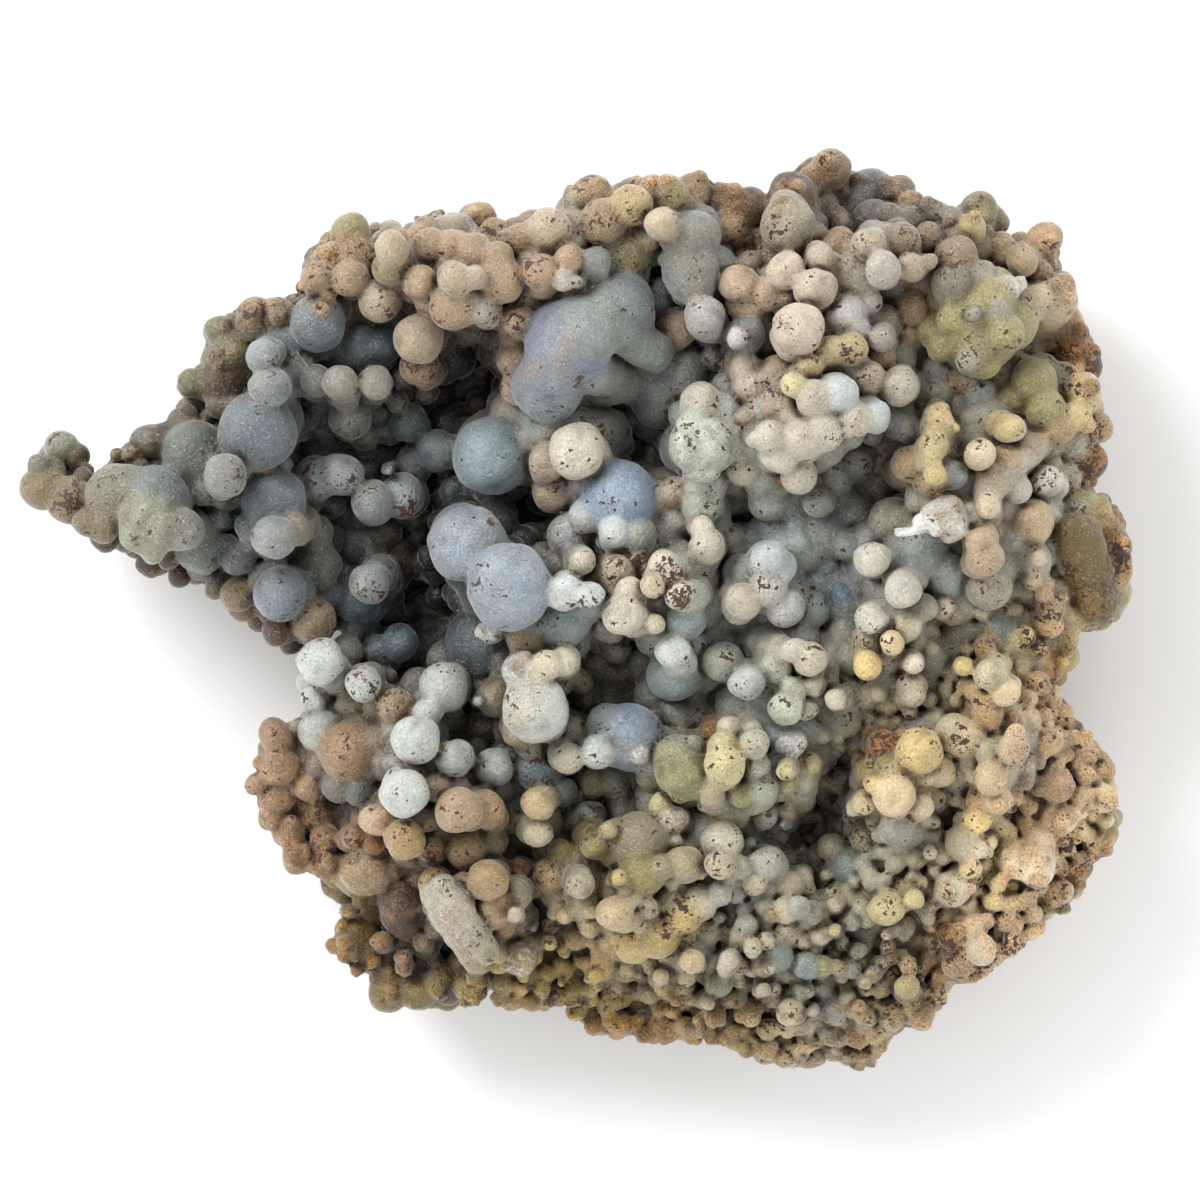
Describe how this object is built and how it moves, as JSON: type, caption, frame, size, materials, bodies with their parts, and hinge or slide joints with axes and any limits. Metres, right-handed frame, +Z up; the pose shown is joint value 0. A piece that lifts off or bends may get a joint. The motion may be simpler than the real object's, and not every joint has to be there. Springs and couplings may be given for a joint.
{
  "type": "grape agate specimen",
  "caption": "Cluster of small chalcedony balls grown together on their matrix, with a nose at one end, deep hollows and a flat face to rest on",
  "frame": {"origin": "on the flat face that the piece rests on, under the middle of its length and width", "axes": "+X along its length towards the broad end, with the nose at -X; +Y across it; +Z up, away from the rest face, towards the side with the balls"},
  "size_m": [0.1393, 0.1159, 0.0483],
  "materials": {
    "chalcedony": "satin"
  },
  "bodies": {
    "root": {"grape_agate": "chalcedony"}
  },
  "joints": []
}
